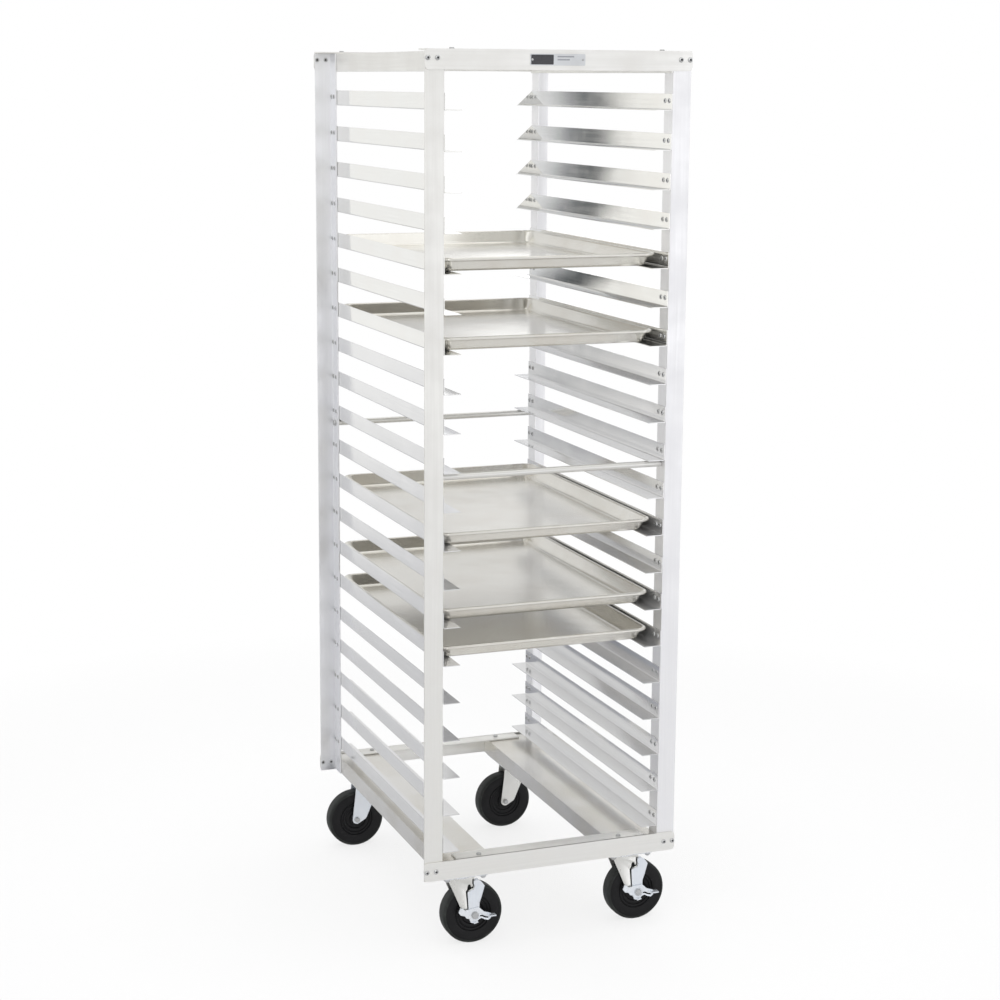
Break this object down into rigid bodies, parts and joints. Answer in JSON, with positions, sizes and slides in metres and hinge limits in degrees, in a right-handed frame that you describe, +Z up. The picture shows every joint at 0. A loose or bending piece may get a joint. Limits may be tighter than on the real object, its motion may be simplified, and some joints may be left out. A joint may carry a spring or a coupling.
{
  "type": "sheet pan rack",
  "caption": "Tall end-load bakery rack: angle posts and slides hold sheet pans on evenly spaced levels, on swivel casters with front brakes.",
  "frame": {"origin": "on the floor, under the middle of the rack", "axes": "+Z up; -Y is the open front where pans go in; +X is to the right seen from the front"},
  "size_m": [0.5476, 0.7319, 1.778],
  "materials": {
    "aluminium": "satin mill finish, extruded",
    "slide_aluminium": "bright mill finish, formed sheet",
    "pan_aluminium": "matt, lightly used",
    "zinc_plate": "bright zinc plate",
    "wheel_rubber": "satin",
    "nameplate": "printed foil, no lettering"
  },
  "bodies": {
    "rack": {"bottom_rail_front": "aluminium", "bottom_rail_rear": "aluminium", "caster_channel_left": "aluminium", "caster_channel_right": "aluminium", "caster_front_left_plate": "zinc_plate", "caster_front_right_plate": "zinc_plate", "caster_rear_left_plate": "zinc_plate", "caster_rear_right_plate": "zinc_plate", "nameplate": "nameplate", "post_front_left": "aluminium", "post_front_right": "aluminium", "post_rear_left": "aluminium", "post_rear_right": "aluminium", "slides_left_01_02": "slide_aluminium", "slides_left_03_04": "slide_aluminium", "slides_left_05_06": "slide_aluminium", "slides_left_07_08": "slide_aluminium", "slides_left_09_10": "slide_aluminium", "slides_left_11_12": "slide_aluminium", "slides_left_13_14": "slide_aluminium", "slides_left_15_16": "slide_aluminium", "slides_left_17_18": "slide_aluminium", "slides_left_19_20": "slide_aluminium", "slides_right_01_02": "slide_aluminium", "slides_right_03_04": "slide_aluminium", "slides_right_05_06": "slide_aluminium", "slides_right_07_08": "slide_aluminium", "slides_right_09_10": "slide_aluminium", "slides_right_11_12": "slide_aluminium", "slides_right_13_14": "slide_aluminium", "slides_right_15_16": "slide_aluminium", "slides_right_17_18": "slide_aluminium", "slides_right_19_20": "slide_aluminium", "tie_rod_front": "aluminium", "tie_rod_rear": "aluminium", "top_rail_front": "aluminium", "top_rail_left": "aluminium", "top_rail_rear": "aluminium", "top_rail_right": "aluminium"},
    "caster_front_left_swivel": {"caster_front_left_axle": "zinc_plate", "caster_front_left_brake_arm": "zinc_plate", "caster_front_left_fork": "zinc_plate"},
    "caster_front_left_brake": {"caster_front_left_brake_lever": "zinc_plate"},
    "caster_front_left_wheel": {"caster_front_left_wheel": "wheel_rubber"},
    "caster_front_right_swivel": {"caster_front_right_axle": "zinc_plate", "caster_front_right_brake_arm": "zinc_plate", "caster_front_right_fork": "zinc_plate"},
    "caster_front_right_brake": {"caster_front_right_brake_lever": "zinc_plate"},
    "caster_front_right_wheel": {"caster_front_right_wheel": "wheel_rubber"},
    "caster_rear_left_swivel": {"caster_rear_left_axle": "zinc_plate", "caster_rear_left_fork": "zinc_plate"},
    "caster_rear_left_wheel": {"caster_rear_left_wheel": "wheel_rubber"},
    "caster_rear_right_swivel": {"caster_rear_right_axle": "zinc_plate", "caster_rear_right_fork": "zinc_plate"},
    "caster_rear_right_wheel": {"caster_rear_right_wheel": "wheel_rubber"},
    "pan_level_05": {"pan_level_05": "pan_aluminium"},
    "pan_level_07": {"pan_level_07": "pan_aluminium"},
    "pan_level_12": {"pan_level_12": "pan_aluminium"},
    "pan_level_14": {"pan_level_14": "pan_aluminium"},
    "pan_level_15": {"pan_level_15": "pan_aluminium"}
  },
  "joints": [
    {"name": "caster_front_left_swivel", "type": "hinge", "parent": "rack", "child": "caster_front_left_swivel", "pos_m": [-0.1811, -0.30226, 0.1524], "axis": [0, 0, 1], "continuous": true},
    {"name": "caster_front_left_roll", "type": "hinge", "parent": "caster_front_left_swivel", "child": "caster_front_left_wheel", "pos_m": [-0.15189, -0.30226, 0.0635], "axis": [0, 1, 0], "continuous": true},
    {"name": "caster_front_left_brake", "type": "hinge", "parent": "caster_front_left_swivel", "child": "caster_front_left_brake", "pos_m": [-0.15189, -0.30226, 0.0635], "axis": [0, 1, 0], "range_deg": [0, 25]},
    {"name": "caster_front_right_swivel", "type": "hinge", "parent": "rack", "child": "caster_front_right_swivel", "pos_m": [0.1811, -0.30226, 0.1524], "axis": [0, 0, 1], "continuous": true},
    {"name": "caster_front_right_roll", "type": "hinge", "parent": "caster_front_right_swivel", "child": "caster_front_right_wheel", "pos_m": [0.21031, -0.30226, 0.0635], "axis": [0, 1, 0], "continuous": true},
    {"name": "caster_front_right_brake", "type": "hinge", "parent": "caster_front_right_swivel", "child": "caster_front_right_brake", "pos_m": [0.21031, -0.30226, 0.0635], "axis": [0, 1, 0], "range_deg": [0, 25]},
    {"name": "caster_rear_left_swivel", "type": "hinge", "parent": "rack", "child": "caster_rear_left_swivel", "pos_m": [-0.1811, 0.30226, 0.1524], "axis": [0, 0, 1], "continuous": true},
    {"name": "caster_rear_left_roll", "type": "hinge", "parent": "caster_rear_left_swivel", "child": "caster_rear_left_wheel", "pos_m": [-0.21031, 0.30226, 0.0635], "axis": [0, 1, 0], "continuous": true},
    {"name": "caster_rear_right_swivel", "type": "hinge", "parent": "rack", "child": "caster_rear_right_swivel", "pos_m": [0.1811, 0.30226, 0.1524], "axis": [0, 0, 1], "continuous": true},
    {"name": "caster_rear_right_roll", "type": "hinge", "parent": "caster_rear_right_swivel", "child": "caster_rear_right_wheel", "pos_m": [0.15189, 0.30226, 0.0635], "axis": [0, 1, 0], "continuous": true},
    {"name": "pan_level_05_pull", "type": "slide", "parent": "rack", "child": "pan_level_05", "axis": [0, -1, 0], "range_m": [0, 0.6]},
    {"name": "pan_level_07_pull", "type": "slide", "parent": "rack", "child": "pan_level_07", "axis": [0, -1, 0], "range_m": [0, 0.6]},
    {"name": "pan_level_12_pull", "type": "slide", "parent": "rack", "child": "pan_level_12", "axis": [0, -1, 0], "range_m": [0, 0.6]},
    {"name": "pan_level_14_pull", "type": "slide", "parent": "rack", "child": "pan_level_14", "axis": [0, -1, 0], "range_m": [0, 0.6]},
    {"name": "pan_level_15_pull", "type": "slide", "parent": "rack", "child": "pan_level_15", "axis": [0, -1, 0], "range_m": [0, 0.6]}
  ]
}
